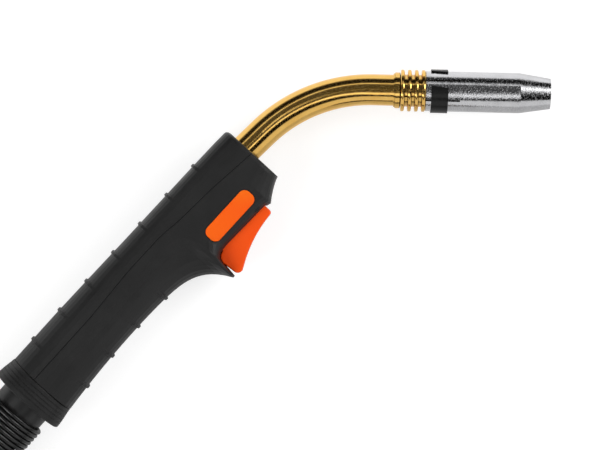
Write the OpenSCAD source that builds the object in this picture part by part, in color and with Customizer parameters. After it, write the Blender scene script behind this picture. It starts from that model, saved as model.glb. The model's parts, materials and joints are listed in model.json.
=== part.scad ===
// MIG welding torch with swivel handle, trigger, slit gas nozzle, cable and central plug.
// The torch lies on its side: the bent neck lies level, the finger trigger faces -Y, +Z is up.
// All sizes in millimetres. Inside the modules X = 0 is the front face of the handle,
// Y = Z = 0 is the axis of the cable swivel; stand() moves that frame to the part's origin,
// the centre of the foot of the torch's own box, the cable left out.

/* [Handle] */
// Length of the two shells from the front face to the locking collar
shell_length = 158.5; // [158.5:0.5:160.5]
// Thickness of the handle at its front, across the flanks
front_thickness = 35; // [34.4:0.2:35.6]
// Thickness of the handle where the collar starts
rear_thickness = 38.3; // [38:0.1:38.5]
// Moulded wall of the shells
shell_wall = 2.2; // [2:0.1:2.6]
// Height of the grip ribs over the shell
rib_height = 0.9; // [0.5:0.1:1.3]
// Length of each grip rib along the handle
rib_length = 2.3; // [1.8:0.1:2.8]
// Spacing of the grip ribs along the handle
rib_pitch = 20.05; // [19.9:0.05:20.2]
// Depth of the finger guard behind the trigger, from the handle axis
guard_depth = 35.4; // [34:0.2:36.6]

/* [Trigger] */
// Width of the trigger across the flanks
trigger_width = 18; // [17:0.5:18.6]
// Side clearance between the trigger and its slot
trigger_play = 0.35; // [0.3:0.05:0.5]
// Diameter of the pin the trigger turns on
pivot_pin = 3; // [2.6:0.1:3.4]
// Radius of the finger hollow
finger_radius = 67.3; // [65:0.5:70]
// Wire of the trigger return spring
trigger_wire = 0.7; // [0.6:0.05:0.8]

/* [Label plate] */
// Length of the label plate
label_length = 31; // [29:0.5:32]
// Height of the label plate
label_height = 9; // [8.6:0.2:9.4]
// Thickness of the label plate
label_thick = 0.8; // [0.6:0.1:1]

/* [Neck] */
// Diameter of the neck tube
neck_diameter = 16; // [15.6:0.1:16.2]
// Bend radius of the neck at its centreline
neck_bend = 78.6; // [75:0.5:80]
// Angle the neck bends through
neck_angle = 45.44; // [44:0.5:47]
// Diameter of the cooling fins
fin_diameter = 21.5; // [20.5:0.1:22]
// Spacing of the cooling fins
fin_pitch = 3.55; // [3.4:0.05:3.6]

/* [Gas nozzle] */
// Outer diameter of the gas nozzle
nozzle_diameter = 20.5; // [20.2:0.1:21]
// Outer diameter of the nozzle at its mouth
mouth_diameter = 15.6; // [15.2:0.1:16]
// Bore of the nozzle at its mouth
mouth_bore = 12.5; // [12:0.1:13]
// Length of the gas nozzle
nozzle_length = 64; // [62:0.2:66]
// Number of spring slits in the rear of the nozzle
slit_count = 6; // [4:1:8]
// Width of each slit
slit_width = 1; // [0.8:0.1:1.2]
// Width of the open band clip round the slits
clip_width = 8.6; // [8:0.1:9.4]
// Bore of the contact tip
tip_bore = 1.2; // [0.8:0.1:1.6]

/* [Swivel and bend spring] */
// Radius of the ball the handle swivels on
ball_radius = 16; // [15.8:0.05:16.05]
// Running gap between the ball and its seat
ball_gap = 0.06; // [0.04:0.01:0.1]
// Outer diameter of the locking collar at its rear rim
collar_diameter = 41.1; // [40.6:0.1:41.6]
// Wire of the bend springs
spring_wire = 1.95; // [1.85:0.05:2]
// Spacing of the spring curls
spring_pitch = 2.44; // [2.42:0.01:2.5]
// Outer diameter of the bend springs
spring_outer = 33; // [32:0.2:33.4]

/* [Cable and plug] */
// Outer diameter of the hose and power cable
cable_diameter = 17; // [16.8:0.1:17]
// Diameter of the plug's central power pin
plug_pin = 10; // [9.8:0.1:10.2]
// Outer diameter of the plug's hand nut
nut_diameter = 51.8; // [50:0.2:52]
// Diameter of the two sprung control pins
control_pin = 4; // [3.6:0.1:4.2]

/* [Hidden] */

$fn = 64;

// ---- colours -------------------------------------------------------------
nylon = "#2b2b2b";
orange = "#ff5512";
brass = "#c9a24a";
chrome = "#c8c8c8";
steel = "#9a9a9a";
copper = "#b8734a";
rubber = "#151515";

// ---- where the neck runs -------------------------------------------------
rear_tilt = 3.45;
corner_x = 44.93;
corner_y = 1.62;
nose_tilt = rear_tilt + neck_angle;
bend_tangent = neck_bend * tan(neck_angle / 2);
arc_a = [corner_x - bend_tangent * cos(rear_tilt), corner_y + bend_tangent * sin(rear_tilt)];
bend_x = arc_a[0] - neck_bend * sin(rear_tilt);
bend_y = arc_a[1] - neck_bend * cos(rear_tilt);
neck_end = 43.16;
fin_first = 47.8;
nozzle_rear = 59.45;
nozzle_tip = nozzle_rear + nozzle_length;
mouth_x = corner_x + nozzle_tip * cos(nose_tilt);
mouth_y = corner_y - nozzle_tip * sin(nose_tilt);

// ---- the swivel ----------------------------------------------------------
ball_x = -(shell_length - 3.5);
seat_radius = ball_radius + ball_gap;
collar_start = shell_length + 0.3;
collar_end = shell_length + 12;
tail_radius = 14;
grip_radius = 13.1;
grip_start = 21.6;
tail_start = 15.8;
tail_end = 37;
spigot_radius = 17.5;
lift = collar_diameter / 2;

// ---- the torch's own box, cable left out ---------------------------------
box_x0 = ball_x - tail_end;
box_x1 = mouth_x + mouth_diameter / 2 * sin(nose_tilt);
box_y0 = mouth_y - mouth_diameter / 2 * cos(nose_tilt);
box_y1 = lift;

// ---- the cable -----------------------------------------------------------
cable_r = cable_diameter / 2;
bore_play = 0.2;
layer_low = 8.6;
layer_step = 17.45;
layer_high = layer_low + layer_step;
spring_x0 = -177;
spring_curls = 27;
run_drop_x0 = -243;
run_drop_x1 = -314;
coil_x = -333;
coil_radius = 111.25;
coil_pitch = 17.5;
coil_turns = 4.5;
coil_y = -coil_radius;
plug_y = -2 * coil_radius;
plug_x = -190;
plug_curls = 23;

// Moves the modelling frame to the foot of the torch's box.
module stand() {
    translate([-(box_x0 + box_x1) / 2, -(box_y0 + box_y1) / 2, lift])
        children();
}

// Puts a piece drawn along +Z on the nozzle axis, measured from the neck's corner point.
module on_nozzle_axis(w) {
    translate([corner_x, corner_y, 0])
        rotate([0, 0, -nose_tilt])
            translate([w, 0, 0])
                rotate([0, 90, 0])
                    children();
}

// Puts a piece drawn along +Z on the neck's straight rear end, at distance u behind the corner.
module on_rear_axis(u) {
    translate([corner_x, corner_y, 0])
        rotate([0, 0, -rear_tilt])
            translate([-u, 0, 0])
                rotate([0, 90, 0])
                    children();
}

// Puts a piece drawn along +Z on the plug's axis, x measured from the plug's rear.
module on_plug(x) {
    translate([plug_x + x, plug_y, layer_high - lift])
        rotate([0, 90, 0])
            children();
}

// A plain round tube standing on z = 0.
module tube(outer, inner, length) {
    difference() {
        cylinder(d = outer, h = length);
        translate([0, 0, -1])
            cylinder(d = inner, h = length + 2);
    }
}

// A tube that follows the neck: rear straight, bend, front straight, ends at distances
// rear and front from the neck's corner point. slack thins the bent stretch's wall.
module neck_sweep(outer, inner, rear, front, slack = 0) {
    translate([bend_x, bend_y, 0]) rotate([0, 0, -rear_tilt]) {
        rotate([0, 0, 90 - neck_angle])
            difference() {
                rotate_extrude(angle = neck_angle)
                    translate([neck_bend, 0])
                        circle(d = outer - slack);
                rotate_extrude(angle = neck_angle)
                    translate([neck_bend, 0])
                        circle(d = inner + slack);
            }
        rotate([0, 0, 90 - neck_angle])
            translate([neck_bend, 0, 0])
                rotate([90, 0, 0])
                    tube(outer, inner, front - bend_tangent);
        translate([0, neck_bend, 0])
            rotate([0, -90, 0])
                tube(outer, inner, rear - bend_tangent);
    }
}

// ---- the handle's outline ------------------------------------------------
// s is the distance back from the front face. Each section is a rounded box: half height
// back_at(s) over the axis, trigger_at(s) under it, half thickness half_at(s).
function ramp(s, a, b) = min(1, max(0, (s - a) / (b - a)));
function ease(t) = t * t * (3 - 2 * t);
function back_at(s) = lookup(s, [[0, 17.9], [8, 18.2], [30, 18.5], [75, 18.7], [100, 19],
    [128, 19.2], [shell_length, 18.95]]);
function nose_at(s) = 17.5 + 6.2 * pow(max(0, s) / 11.7, 1.25);
function belly_at(s) = 16.4 + 2.9 * pow(max(0, s - 101) / 58, 2);
function guard_at(s) = min(guard_depth, belly_at(s) + 16.1 * exp(-(s - 54.3) / 9.2));
function trigger_at(s) = s < 11.7 ? nose_at(s)
    : s <= 14.2 ? 23.9 - 0.7 * ramp(s, 11.7, 14.2)
    : s < 46.1 ? 23.05 - 0.95 * ramp(s, 14.2, 46.1)
    : s <= 50.6 ? 26.6 - sqrt(pow(4.5, 2) - pow(s - 46.1, 2))
    : guard_at(s);
function half_at(s) = lookup(s, [[0, front_thickness / 2], [60, front_thickness / 2 + 0.5],
    [shell_length, rear_thickness / 2]]);
// How boxy the section is: 2 is an ellipse.
function box_back(s) = 3.4 - 0.8 * ramp(s, 10, 70) - 0.6 * ease(ramp(s, 80, 158));
function box_under(s) = s <= 50.6 ? 4 + 3.5 * ease(ramp(s, 43, 50.6))
    : 2.2 + 1.8 * (1 - ease(ramp(s, 51.6, 56)));
// The parting line between the two shells, seen from the flank.
function seam_at(s) = lookup(s, [[0, 0.3], [24, 2.9], [50, 4.5], [62, 6], [87, 6],
    [116, 4.3], [shell_length, 4]]);
function neck_y(s) = corner_y + (corner_x + s) * tan(rear_tilt);

function spow(v, e) = sign(v) * pow(abs(v), e);
// Angle where a section of half height h and boxiness n meets height y.
function seam_angle(y, h, n) = asin(spow(y / h, n / 2));
// A point [Y, Z] of the section at angle a.
function skin(a, up, down, half, nu, nd) = a > 0
    ? [up * spow(sin(a), 2 / nu), half * spow(cos(a), 2 / nu)]
    : [down * spow(sin(a), 2 / nd), half * spow(cos(a), 2 / nd)];

// Rounding of the front edge, a from 0 at the face to 90 on the flank.
edge_steps = [0, 30, 60, 90];
face_s = -0.7;
function edge_s(a) = face_s + 2 * (1 - cos(a));
function edge_in(s, r) = s >= face_s + 2 ? 0 : r * (1 - sin(acos(1 - (s - face_s) / 2)));

// Ribs: raised crescents across the back and under the grip.
back_rib_first = 24.45;
back_ribs = 7;
under_rib_first = 83.8;
under_ribs = 4;
function rib_lift(s, first, count) = max([for (k = [0:count - 1])
    rib_height * (1 - ramp(abs(s - first - k * rib_pitch), rib_length / 2 - 0.45,
    rib_length / 2))]);
function rib_fade(a) = ease(ramp(abs(sin(a)), 0.62, 0.92));

// Stations of a shell: the front edge, then round each rib and between the ribs.
rib_steps = [-rib_length / 2, -rib_length / 2 + 0.45, rib_length / 2 - 0.45, rib_length / 2];
front_wall = 3;
back_stations = concat([for (a = edge_steps) edge_s(a)], [front_wall, front_wall + 0.3, 8, 16],
    [for (k = [0:back_ribs - 1]) for (d = concat(rib_steps, [6.6, 12.6]))
        if (back_rib_first + k * rib_pitch + d < shell_length)
            back_rib_first + k * rib_pitch + d], [shell_length]);
under_stations = concat([for (a = edge_steps) edge_s(a)], [front_wall, front_wall + 0.3, 6, 9,
    11.7, 14.2, 14.6, 24, 34, 43, 46.1, 47.5, 48.7, 49.6, 50.2, 50.6, 51.6],
    [for (s = [52.75:2.1:79]) s],
    [for (k = [0:under_ribs - 1]) for (d = concat(rib_steps, [6.6, 12.6]))
        if (under_rib_first + k * rib_pitch + d < shell_length)
            under_rib_first + k * rib_pitch + d], [shell_length]);

// The cavity: the wall's thickness inside the skin, round the neck at the front wall and
// drawn in to the cable's passage before the ball.
passage = 12.6;
function drawn(s, v) = v + (passage - v) * ease(ramp(s, 126, 138));
function cave_half(s) = drawn(s, half_at(s) - shell_wall);
function cave_up(s) = drawn(s, back_at(s) - shell_wall);
function cave_down(s) = drawn(s, min(trigger_at(s), 22) - shell_wall);
function hole_r() = neck_diameter / 2 + 0.3;

outer_steps = 20;
inner_steps = 10;

// Each shell's edge is broken along the parting line, which leaves a fine groove there.
groove_depth = 0.3;
groove_width = 0.35;
function share(i) = (i - 1) / (outer_steps - 2);
function groove(i, half) = i == 0 || i == outer_steps ? -groove_depth / half : 0;
function back_skin(s, in) = let (up = back_at(s) - edge_in(s, 2.6) - in,
    half = half_at(s) - edge_in(s, 1.6) - in, a0 = seam_angle(seam_at(s), up, box_back(s)),
    a1 = seam_angle(seam_at(s) + groove_width, up, box_back(s)))
    [for (i = [0:outer_steps]) let (a = i == 0 ? a0 : i == outer_steps ? 180 - a0
        : a1 + (180 - 2 * a1) * share(i),
        k = 1 + groove(i, half) + rib_lift(s, back_rib_first, back_ribs) * rib_fade(a) / up)
        k * skin(a, up, up, half, box_back(s), box_back(s))];
function under_skin(s, in) = let (up = back_at(s) - edge_in(s, 2.6) - in,
    down = trigger_at(s) - edge_in(s, 0.3) - in, half = half_at(s) - edge_in(s, 1.6) - in,
    low = seam_at(s) - groove_width, a0 = seam_angle(seam_at(s), up, box_back(s)),
    a1 = low > 0 ? seam_angle(low, up, box_back(s)) : seam_angle(low, down, box_under(s)))
    [for (i = [0:outer_steps]) let (a = i == 0 ? a0 : i == outer_steps ? -180 - a0
        : a1 - (180 + 2 * a1) * share(i),
        b = a > -180 ? a : a + 360, k = 1 + groove(i, half)
        + rib_lift(s, under_rib_first, under_ribs) * (b < 0 ? rib_fade(b) : 0) / down)
        k * skin(b, up, down, half, box_back(s), box_under(s))];

function cave(s, side) = s <= front_wall
    ? let (a0 = asin((seam_at(s) - neck_y(s)) / hole_r()), a1 = side > 0 ? 180 - 2 * a0 : -180 - 2 * a0)
        [for (i = [inner_steps:-1:0]) let (a = a0 + a1 * i / inner_steps)
            [neck_y(s) + hole_r() * sin(a), hole_r() * cos(a)]]
    : let (up = cave_up(s), a0 = seam_angle(seam_at(s), up, box_back(s)),
        a1 = side > 0 ? 180 - 2 * a0 : -180 - 2 * a0)
        [for (i = [inner_steps:-1:0]) let (a = a0 + a1 * i / inner_steps, b = a > -180 ? a : a + 360)
            skin(b, up, cave_down(s), cave_half(s), box_back(s), side > 0 ? 2 : box_under(s))];

// Skins a run of closed sections, each a list of [Y, Z], at stations s.
module loft(stations, sections, flip) {
    n = len(sections[0]);
    last = len(stations) - 1;
    points = [for (i = [0:last]) for (p = sections[i]) [-stations[i], p[0], p[1]]];
    walls = [for (i = [0:last - 1]) for (j = [0:n - 1]) for (t = [0, 1])
        let (a = i * n + j, b = i * n + (j + 1) % n, c = b + n, d = a + n)
        t == 0 ? [a, b, c] : [a, c, d]];
    // Each end is a strip between the outer run and the inner run, which turns back.
    strip = [for (i = [0:inner_steps - 1]) let (o = 2 * i, c = n - 1 - i)
        each [[o, c, o + 1], [o + 1, c, c - 1], [o + 1, c - 1, o + 2]]];
    end = [for (f = strip) [for (k = [2:-1:0]) last * n + f[k]]];
    faces = concat(walls, strip, end);
    polyhedron(points, flip ? [for (f = faces) [f[2], f[1], f[0]]] : faces);
}

// ---- the trigger's outline, seen from the flank: points [s, t], t away from the back -----
// inset shrinks it, a negative inset grows it.
pivot_s = 18.5;
pivot_t = 19.5;
trigger_top = 16;
finger_s = 13.2;
finger_t = 94.7;
function arc_points(cs, ct, r, a0, a1, steps) = [for (i = [0:steps])
    let (a = a0 + (a1 - a0) * i / steps) [cs + r * cos(a), ct + r * sin(a)]];
function finger_at(s, inset) = finger_t - sqrt(pow(finger_radius + inset, 2) - pow(s - finger_s, 2));
function trigger_outline(inset) = concat(
    [[14.6 + inset, trigger_top]],
    arc_points(16.5, 25.6, 1.9 - inset, 180, 90, 4),
    [for (s = [20:4.2:46]) [s, finger_at(s, inset)]],
    arc_points(47.1, 33.5, 2.9 - inset, 90, 10, 4),
    arc_points(46.1, 26.7, 4.5 - inset, 5, -85, 6),
    [[45.4 - inset, 21], [45.4 - inset, trigger_top]]);

// Corners of the rounded plates are exact arcs.
module round_rect(length, height, r) {
    square([length - 2 * r, height], center = true);
    square([length, height - 2 * r], center = true);
    for (x = [-1, 1])
        for (y = [-1, 1])
            translate([x * (length / 2 - r), y * (height / 2 - r)])
                circle(r = r);
}

// ---- handle shells --------------------------------------------------------
label_s = 30.35;
label_t = 12.9;
label_lean = 11;
label_z = 16.3;
screw_z = -12.2;
screw_stations = [72, 126];
switch_s0 = 25;
switch_length = 12.8;
switch_t0 = 7.4;
switch_height = 6.5;
switch_thick = 5.8;
web = 1.8;
shelf_t = 10.5;
cradle_half = 16;
trigger_spring_steps = 48;
trigger_spring_rise = (19 - shelf_t - 0.35) / trigger_spring_steps;
spring_s = 43;

module label_frame() {
    translate([-label_s, -label_t, label_z])
        rotate([label_lean, 0, 0])
            children();
}

// A solid web across a shell at station s, thick mm long, with a round hole for the neck.
module shell_web(s, thick, section, hole) {
    difference() {
        translate([-s - thick, 0, 0])
            rotate([90, 0, 90])
                linear_extrude(thick)
                    polygon(section);
        translate([-s - thick - 1, neck_y(s + thick / 2), 0])
            rotate([0, 90, 0])
                cylinder(d = hole, h = thick + 2);
    }
}

// The bowl both shells form round the ball, bored as narrow cones.
module ball_seat() {
    step = 180 / 15;
    r = seat_radius / cos(step / 2);
    translate([ball_x, 0, 0])
        rotate([0, 90, 0])
            rotate_extrude($fn = 96)
                polygon(concat([[0, -seat_radius]],
                    [for (k = [0:14]) let (a = -90 + step * (k + 0.5)) r * [cos(a), sin(a)]],
                    [[0, seat_radius]]));
}

// Half of the rear spigot with its snap bead; the collar springs over it.
module half_spigot(low, high) {
    intersection() {
        translate([-(shell_length + 5), 0, 0])
            rotate([0, 90, 0])
                union() {
                    cylinder(r = spigot_radius, h = 11);
                    translate([0, 0, 1.8])
                        cylinder(r1 = spigot_radius, r2 = spigot_radius + 0.35, h = 0.5);
                    translate([0, 0, 2.3])
                        cylinder(r1 = spigot_radius + 0.35, r2 = spigot_radius, h = 0.7);
                }
        translate([-(shell_length + 10), low, -25])
            cube([20, high - low, 50]);
    }
}

module screw_bores(d, y0, y1) {
    for (s = screw_stations)
        translate([-s, y0, screw_z])
            rotate([-90, 0, 0])
                cylinder(d = d, h = y1 - y0);
}

module back_shell() {
    color(nylon) stand() difference() {
        union() {
            loft(back_stations, [for (s = back_stations) concat(back_skin(s, 0), cave(s, 1))], true);
            half_spigot(seam_at(shell_length), 20);
            shell_web(15, web, back_skin(15, 0.9), neck_diameter + 0.3);
            shell_web(62, web, back_skin(62, 1), 14.3);
            for (s = screw_stations)
                translate([-s, seam_at(s), screw_z])
                    rotate([-90, 0, 0])
                        cylinder(d = 6, h = 12 - seam_at(s));
        }
        ball_seat();
        screw_bores(2.5, -5, 11);
    }
}

module trigger_shell() {
    slot = trigger_width / 2 + trigger_play;
    color(nylon) stand() difference() {
        union() {
            difference() {
                loft(under_stations, [for (s = under_stations) concat(under_skin(s, 0), cave(s, -1))], false);
                translate([-46, -45, -slot])
                    cube([46 - 14.1, 33, 2 * slot]);
                translate([-51.6, -24.8, -slot])
                    cube([6, 12.8, 2 * slot]);
                translate([0, 0, -slot])
                    linear_extrude(2 * slot)
                        polygon([for (p = trigger_outline(-1.2)) if (p[0] > 40 && p[1] > 20)
                            [-p[0], -p[1]]]);
            }
            half_spigot(-20, seam_at(shell_length));
            shell_web(10, web, under_skin(10, 1.2), neck_diameter + 0.3);
            shell_web(62, web, under_skin(62, 1), 14.3);
            switch_cradle();
            for (side = [-1, 1])
                translate([-pivot_s, -pivot_t, side * (slot + 1.9)])
                    cylinder(d = 4.8, h = 3.8, center = true);
            for (s = screw_stations)
                translate([-s, -15.5, screw_z])
                    rotate([-90, 0, 0])
                        cylinder(d = 6.6, h = 15.5 + seam_at(s));
        }
        ball_seat();
        for (side = [-1, 1])
            translate([-64.5, -1.4, 9.9 * side - 3.4])
                cube([4, 8, 6.8]);
        screw_bores(3.1, -12, 15);
        screw_bores(5.8, -25, -9);
        translate([-pivot_s, -pivot_t, 0])
            cylinder(d = pivot_pin + 0.04, h = trigger_width + 7.4, center = true);
        label_frame()
            linear_extrude(4)
                round_rect(label_length + 0.6, label_height + 0.6, 3.8);
    }
}

// Webs that hold the microswitch by its ends, and the shelf the trigger spring pushes on.
module switch_cradle() {
    for (s = [switch_s0 - 0.1 - web, switch_s0 + switch_length + 0.1])
        translate([-s - web, -14, -cradle_half])
            cube([web, 10.8, 2 * cradle_half]);
    translate([-switch_s0 - 9.1, -switch_t0 + 0.1, -cradle_half])
        cube([5.8, 1.6, 2 * cradle_half]);
    translate([-46.5, -shelf_t, -cradle_half])
        cube([5.5, 1.8, 2 * cradle_half]);
    translate([-spring_s, -shelf_t - 1.5, 0])
        rotate([-90, 0, 0])
            cylinder(d = 3.2, h = 2);
}

module locking_collar() {
    rim = collar_diameter / 2;
    base = rear_thickness / 2 + 0.1;
    bore = spigot_radius + 0.1;
    lines = [2, 4.1, 6.2, 8.3];
    color(nylon) stand() translate([-collar_start, 0, 0]) rotate([0, -90, 0]) difference() {
        rotate_extrude($fn = 96)
            polygon([[bore, 0], [base - 0.3, 0], [base, 0.4], [base + 0.35, 3], [rim - 0.35, 6.5],
                [rim, 9.4], [rim, 11.2], [rim - 0.5, 11.7], [18.7, 11.7], [18.6, 6.2],
                [bore, 5.6], [bore, 3.5], [bore + 0.4, 2.7], [bore + 0.4, 2], [bore, 1.3]]);
        for (x = lines)
            translate([0, 0, x])
                tube(collar_diameter + 2, 2 * (base + 1.4 * ramp(x, 0, 9) - 0.3), 0.5);
    }
}

module shell_screws() {
    color(steel) stand() for (s = screw_stations)
        translate([-s, -9 - 2, screw_z])
            rotate([-90, 0, 0])
                difference() {
                    union() {
                        cylinder(d = 5.4, h = 2);
                        cylinder(d = 2.5, h = 9 + 10.8);
                    }
                    translate([0, 0, -1])
                        cylinder(d = 2.3, h = 2.2, $fn = 6);
                }
}

module label_plate() {
    color(orange) stand() label_frame()
        translate([0, 0, 0.02])
            linear_extrude(label_thick)
                round_rect(label_length, label_height, 3.5);
}

// ---- neck -----------------------------------------------------------------
core_d = 10.8;
core_bore = 6;
sleeve_d = 13.8;
union_rear = 85;
union_front = 62.4;
fin_count = 4;
fin_thick = 1.9;
fin_root = 16.5;
insulator_d = 17.1;
nozzle_bore = 17.2;
holder_d = 10;
tip_d = 8;
tip_recess = 5.6;
tip_body = 15;
tip_cone = 4.9;
tip_thread = 8.4;
// Where the tip's shoulder meets the holder, and where its thread ends.
tip_shoulder = nozzle_tip - tip_recess - tip_cone - tip_body;
tip_tail = tip_shoulder - tip_thread;

module neck_jacket() {
    color(brass) stand()
        neck_sweep(neck_diameter, sleeve_d + 0.2, union_front, neck_end);
}

module neck_insulation() {
    color("#d8cfc0") stand()
        neck_sweep(sleeve_d, core_d + 0.2, union_front, neck_end - 0.4, 0.2);
}

module neck_core() {
    color(copper) stand() {
        neck_sweep(core_d, core_bore, union_rear - 6, neck_end + 8, 0.2);
        on_nozzle_axis(neck_end + 7.5)
            tube(core_d - 0.4, 8.1, 8.5);
    }
}

// Hexagon union that clamps the neck; the shells' webs trap it.
module neck_union() {
    color(brass) stand() on_rear_axis(union_rear)
        difference() {
            union() {
                cylinder(d = 19.6, h = union_rear - union_front - 0.2, $fn = 6);
                translate([0, 0, -0.8])
                    cylinder(d = 15.6, h = 0.8);
            }
            translate([0, 0, 5.9])
                cylinder(d = core_d + 0.1, h = 30);
            translate([0, 0, -2])
                cylinder(d = 11.2, h = 8);
        }
}

module finned_sleeve() {
    collar_w = 3.4;
    length = nozzle_rear - neck_end - 0.15;
    color(brass) stand() on_nozzle_axis(neck_end)
        difference() {
            union() {
                cylinder(d = 17.4, h = 0.8);
                translate([0, 0, 0.8])
                    cylinder(d = 18.5, h = collar_w - 1.1);
                translate([0, 0, collar_w - 0.3])
                    cylinder(d1 = 18.5, d2 = 17.9, h = 0.3);
                cylinder(d = fin_root, h = length);
                for (k = [0:fin_count - 1])
                    translate([0, 0, fin_first - neck_end - fin_thick / 2 + k * fin_pitch])
                        cooling_fin();
            }
            translate([0, 0, -1])
                cylinder(d = core_d + 0.1, h = length + 2);
        }
}

// One fin: a disc with softly rounded rim.
module cooling_fin() {
    r = fin_diameter / 2;
    rotate_extrude($fn = 72)
        polygon([[0, 0], [r - 0.5, 0], [r - 0.12, 0.25], [r, 0.7], [r, fin_thick - 0.7],
            [r - 0.12, fin_thick - 0.25], [r - 0.5, fin_thick], [0, fin_thick]]);
}

// Insulating sleeve the nozzle grips, with a stop flange behind the nozzle's rear face.
module nozzle_insulator() {
    color("#e8e2d6") stand() on_nozzle_axis(nozzle_rear)
        difference() {
            cylinder(d = insulator_d, h = 20);
            translate([0, 0, -1])
                cylinder(d = 13.2, h = 22);
        }
}

module tip_holder() {
    rear = neck_end + 8;
    length = tip_shoulder - 0.1 - rear;
    color(brass) stand() on_nozzle_axis(rear)
        difference() {
            union() {
                cylinder(d = 8, h = 8.4);
                translate([0, 0, 8.3])
                    cylinder(d = 13.1, h = 2.7);
                translate([0, 0, 11])
                    cylinder(d = holder_d, h = length - 11);
                translate([0, 0, length - 7.1])
                    cylinder(d = 11, h = 6, $fn = 6);
            }
            translate([0, 0, -1])
                cylinder(d = 4.8, h = length + 2);
            translate([0, 0, length - 9.1])
                cylinder(d = 6.1, h = 10);
        }
}

// Gas diffuser: a ring of eight gas holes round the tip holder.
module gas_diffuser() {
    color("#d9c9a3") stand() on_nozzle_axis(nozzle_rear + 20.3)
        difference() {
            union() {
                cylinder(d = 15, h = 7);
                cylinder(d = 16.6, h = 1.4);
            }
            translate([0, 0, -1])
                cylinder(d = holder_d + 0.1, h = 9);
            for (k = [0:7])
                rotate([0, 0, 45 * k])
                    translate([4, 0, 4.2])
                        rotate([0, 90, 0])
                            cylinder(d = 1.8, h = 6, $fn = 24);
        }
}

module contact_tip() {
    length = tip_thread + tip_body + tip_cone;
    color(copper) stand() on_nozzle_axis(tip_tail)
        difference() {
            union() {
                translate([0, 0, 1])
                    cylinder(d = 6, h = tip_thread - 0.9);
                translate([0, 0, tip_thread])
                    cylinder(d = tip_d, h = tip_body);
                translate([0, 0, length - tip_cone])
                    cylinder(d1 = tip_d, d2 = 5.4, h = tip_cone);
            }
            translate([0, 0, -1])
                cylinder(d = tip_bore, h = length + 2, $fn = 32);
            translate([0, 0, 0])
                cylinder(d1 = 3, d2 = tip_bore, h = 4, $fn = 32);
        }
}

// Spring-steel liner the wire runs in, from the cable nipple to the tip holder.
module wire_liner() {
    color(steel) stand()
        neck_sweep(4.4, 2, union_rear + 27, tip_tail - 0.8, 0.2);
}

module gas_nozzle() {
    r = nozzle_diameter / 2;
    m = mouth_diameter / 2;
    b = mouth_bore / 2;
    straight = nozzle_length - 15;
    color(chrome) stand() on_nozzle_axis(nozzle_rear)
        difference() {
            rotate_extrude($fn = 96)
                polygon([[nozzle_bore / 2, 0], [r - 0.3, 0], [r, 0.3], [r, straight - 0.6],
                    [r - 0.1, straight], [m, nozzle_length], [b, nozzle_length],
                    [b, nozzle_length - 5], [8, straight - 2], [8.25, 24], [nozzle_bore / 2, 23]]);
            for (k = [0:slit_count - 1])
                rotate([0, 0, 30 + k * 360 / slit_count])
                    translate([nozzle_bore / 2 - 2, -slit_width / 2, -1])
                        cube([8, slit_width, 18.6]);
        }
}

// Open band clip; its slanted ends leave a gap beside the top slit.
module nozzle_clip() {
    rear = 2.85;
    inner = nozzle_diameter / 2 + 0.04;
    color("#262626") stand() on_nozzle_axis(nozzle_rear + rear)
        difference() {
            tube(2 * inner + 1.8, 2 * inner, clip_width);
            rotate([0, 0, 143])
                translate([0, 0, clip_width / 2])
                    rotate([90, 0, 90])
                        linear_extrude(20)
                            polygon([[-6.1, -clip_width], [4.1, -clip_width], [6.1, clip_width],
                                [-4.1, clip_width]]);
        }
}

// ---- trigger and switch ---------------------------------------------------
// Side edges of the finger face are rounded: the outline shrinks towards each flank.
trigger_edge = 0.75;
function edge_layers() = [for (a = [0, 30, 60, 90])
    [trigger_width / 2 - trigger_edge * (1 - sin(a)), trigger_edge * (1 - cos(a))]];

module trigger() {
    up = edge_layers();
    layers = concat([for (k = [3:-1:0]) [-up[k][0], up[k][1]]], up);
    rings = [for (l = layers) [for (p = trigger_outline(l[1])) [-p[0], -p[1], l[0]]]];
    n = len(rings[0]);
    last = len(rings) - 1;
    walls = [for (i = [0:last - 1]) for (j = [0:n - 1]) for (t = [0, 1])
        let (a = i * n + j, b = i * n + (j + 1) % n, c = b + n, d = a + n)
        t == 0 ? [a, b, c] : [a, c, d]];
    fans = concat([for (j = [1:n - 2]) [0, j + 1, j]],
        [for (j = [1:n - 2]) [last * n, last * n + j, last * n + j + 1]]);
    points = [for (r = rings) for (p = r) p];
    color(orange) stand() difference() {
        polyhedron(points, concat(walls, fans));
        translate([-40, -25.5, -6.6])
            cube([17.5, 7, 13.2]);
        translate([-spring_s, -19.4, 0])
            rotate([-90, 0, 0])
                cylinder(d = 6.6, h = 5);
        translate([-pivot_s, -pivot_t, 0])
            cylinder(d = pivot_pin + 0.12, h = trigger_width + 2, center = true);
    }
}

module trigger_pin() {
    color(steel) stand() translate([-pivot_s, -pivot_t, 0])
        cylinder(d = pivot_pin, h = trigger_width + 7, center = true);
}

module switch_body() {
    color("#1c1c1c") stand() difference() {
        translate([-switch_s0 - switch_length, -switch_t0 - switch_height, -switch_thick / 2])
            cube([switch_length, switch_height, switch_thick]);
        translate([-33, -switch_t0 - switch_height - 1, 0])
            rotate([-90, 0, 0])
                cylinder(d = 2.5, h = 4.2);
        for (x = [3.2, 9.7])
            translate([-switch_s0 - x, -switch_t0 - 1.6, -5])
                cylinder(d = 2, h = 10, $fn = 32);
    }
}

module switch_plunger() {
    color("#b03020") stand() translate([-33, -trigger_top + 0.3, 0])
        rotate([-90, 0, 0])
            cylinder(d = 2.4, h = 3.4);
}

module switch_terminals() {
    color(copper) stand() for (x = [1.6, 9.4])
        translate([-switch_s0 - x - 1.4, -switch_t0, -0.4])
            cube([1.4, 3.4, 0.8]);
}

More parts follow.
